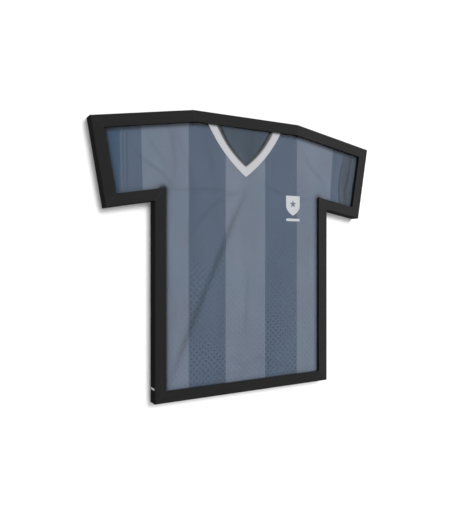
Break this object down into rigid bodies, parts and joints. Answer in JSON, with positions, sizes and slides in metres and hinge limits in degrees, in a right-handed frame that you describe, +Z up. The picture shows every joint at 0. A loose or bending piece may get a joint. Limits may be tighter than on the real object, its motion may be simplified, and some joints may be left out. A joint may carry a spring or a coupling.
{
  "type": "jersey display frame",
  "caption": "Shirt-shaped shallow wall frame in mitred black moulding, with a clear window and a striped V-neck jersey folded round a board inside.",
  "frame": {"origin": "midway between the two hanging holes, on the plane of the frame's back, which lies against the wall", "axes": "+X to the right as seen from the front, +Y into the wall, +Z up"},
  "size_m": [0.797, 0.0285, 0.686],
  "materials": {
    "frame_black": "matte black lacquer on wood moulding",
    "clear_acrylic": "clear polished sheet",
    "insert_board": "smooth grey-white card-faced board",
    "back_board": "brown hardboard, smooth side out",
    "glue_block": "bare pine",
    "zinc_steel": "bright zinc plate",
    "button_steel": "zinc-plated pressed steel",
    "jersey_knit": "polyester sports knit with broad vertical stripes in two blue-greys",
    "collar_rib": "pale grey ribbed knit",
    "neck_trim": "dark tape with a pale stitched edge",
    "jersey_lining": "inside of the back of the jersey, dark blue-grey knit",
    "emblem_foil": "silver heat-pressed film",
    "side_plate": "satin, blank"
  },
  "bodies": {
    "frame": {"top_rail": "frame_black", "right_shoulder_rail": "frame_black", "right_cuff_rail": "frame_black", "right_underarm_rail": "frame_black", "right_side_rail": "frame_black", "bottom_rail": "frame_black", "left_side_rail": "frame_black", "left_underarm_rail": "frame_black", "left_cuff_rail": "frame_black", "left_shoulder_rail": "frame_black", "corner_v_nails": "zinc_steel", "front_window": "clear_acrylic", "insert_board": "insert_board", "back_panel": "back_board", "turn_button_screws": "zinc_steel", "left_hanger_block": "glue_block", "right_hanger_block": "glue_block", "left_keyhole_hanger": "zinc_steel", "right_keyhole_hanger": "zinc_steel", "hanger_screws": "zinc_steel", "jersey_body": "jersey_knit", "jersey_collar": "collar_rib", "jersey_neck_trim": "neck_trim", "jersey_back_neck": "jersey_lining", "chest_emblem": "emblem_foil", "chest_bar": "emblem_foil", "side_plate": "side_plate"},
    "right_shoulder_turn_button": {"right_shoulder_turn_button": "button_steel"},
    "right_cuff_turn_button": {"right_cuff_turn_button": "button_steel"},
    "upper_right_side_turn_button": {"upper_right_side_turn_button": "button_steel"},
    "lower_right_side_turn_button": {"lower_right_side_turn_button": "button_steel"},
    "right_bottom_turn_button": {"right_bottom_turn_button": "button_steel"},
    "left_bottom_turn_button": {"left_bottom_turn_button": "button_steel"},
    "lower_left_side_turn_button": {"lower_left_side_turn_button": "button_steel"},
    "upper_left_side_turn_button": {"upper_left_side_turn_button": "button_steel"},
    "left_cuff_turn_button": {"left_cuff_turn_button": "button_steel"},
    "left_shoulder_turn_button": {"left_shoulder_turn_button": "button_steel"}
  },
  "joints": [
    {"name": "right_shoulder_button_turn", "type": "hinge", "parent": "frame", "child": "right_shoulder_turn_button", "pos_m": [0.27312, -0.0105, -0.02352], "axis": [0, 1, 0], "range_deg": [-90, 90]},
    {"name": "right_cuff_button_turn", "type": "hinge", "parent": "frame", "child": "right_cuff_turn_button", "pos_m": [0.36623, -0.0105, -0.12638], "axis": [0, 1, 0], "range_deg": [-90, 90]},
    {"name": "upper_right_side_button_turn", "type": "hinge", "parent": "frame", "child": "upper_right_side_turn_button", "pos_m": [0.23475, -0.0105, -0.32425], "axis": [0, 1, 0], "range_deg": [-90, 90]},
    {"name": "lower_right_side_button_turn", "type": "hinge", "parent": "frame", "child": "lower_right_side_turn_button", "pos_m": [0.23475, -0.0105, -0.55675], "axis": [0, 1, 0], "range_deg": [-90, 90]},
    {"name": "right_bottom_button_turn", "type": "hinge", "parent": "frame", "child": "right_bottom_turn_button", "pos_m": [0.125, -0.0105, -0.65775], "axis": [0, 1, 0], "range_deg": [-90, 90]},
    {"name": "left_bottom_button_turn", "type": "hinge", "parent": "frame", "child": "left_bottom_turn_button", "pos_m": [-0.125, -0.0105, -0.65775], "axis": [0, 1, 0], "range_deg": [-90, 90]},
    {"name": "lower_left_side_button_turn", "type": "hinge", "parent": "frame", "child": "lower_left_side_turn_button", "pos_m": [-0.23475, -0.0105, -0.55675], "axis": [0, 1, 0], "range_deg": [-90, 90]},
    {"name": "upper_left_side_button_turn", "type": "hinge", "parent": "frame", "child": "upper_left_side_turn_button", "pos_m": [-0.23475, -0.0105, -0.32425], "axis": [0, 1, 0], "range_deg": [-90, 90]},
    {"name": "left_cuff_button_turn", "type": "hinge", "parent": "frame", "child": "left_cuff_turn_button", "pos_m": [-0.36623, -0.0105, -0.12638], "axis": [0, 1, 0], "range_deg": [-90, 90]},
    {"name": "left_shoulder_button_turn", "type": "hinge", "parent": "frame", "child": "left_shoulder_turn_button", "pos_m": [-0.27312, -0.0105, -0.02352], "axis": [0, 1, 0], "range_deg": [-90, 90]}
  ]
}
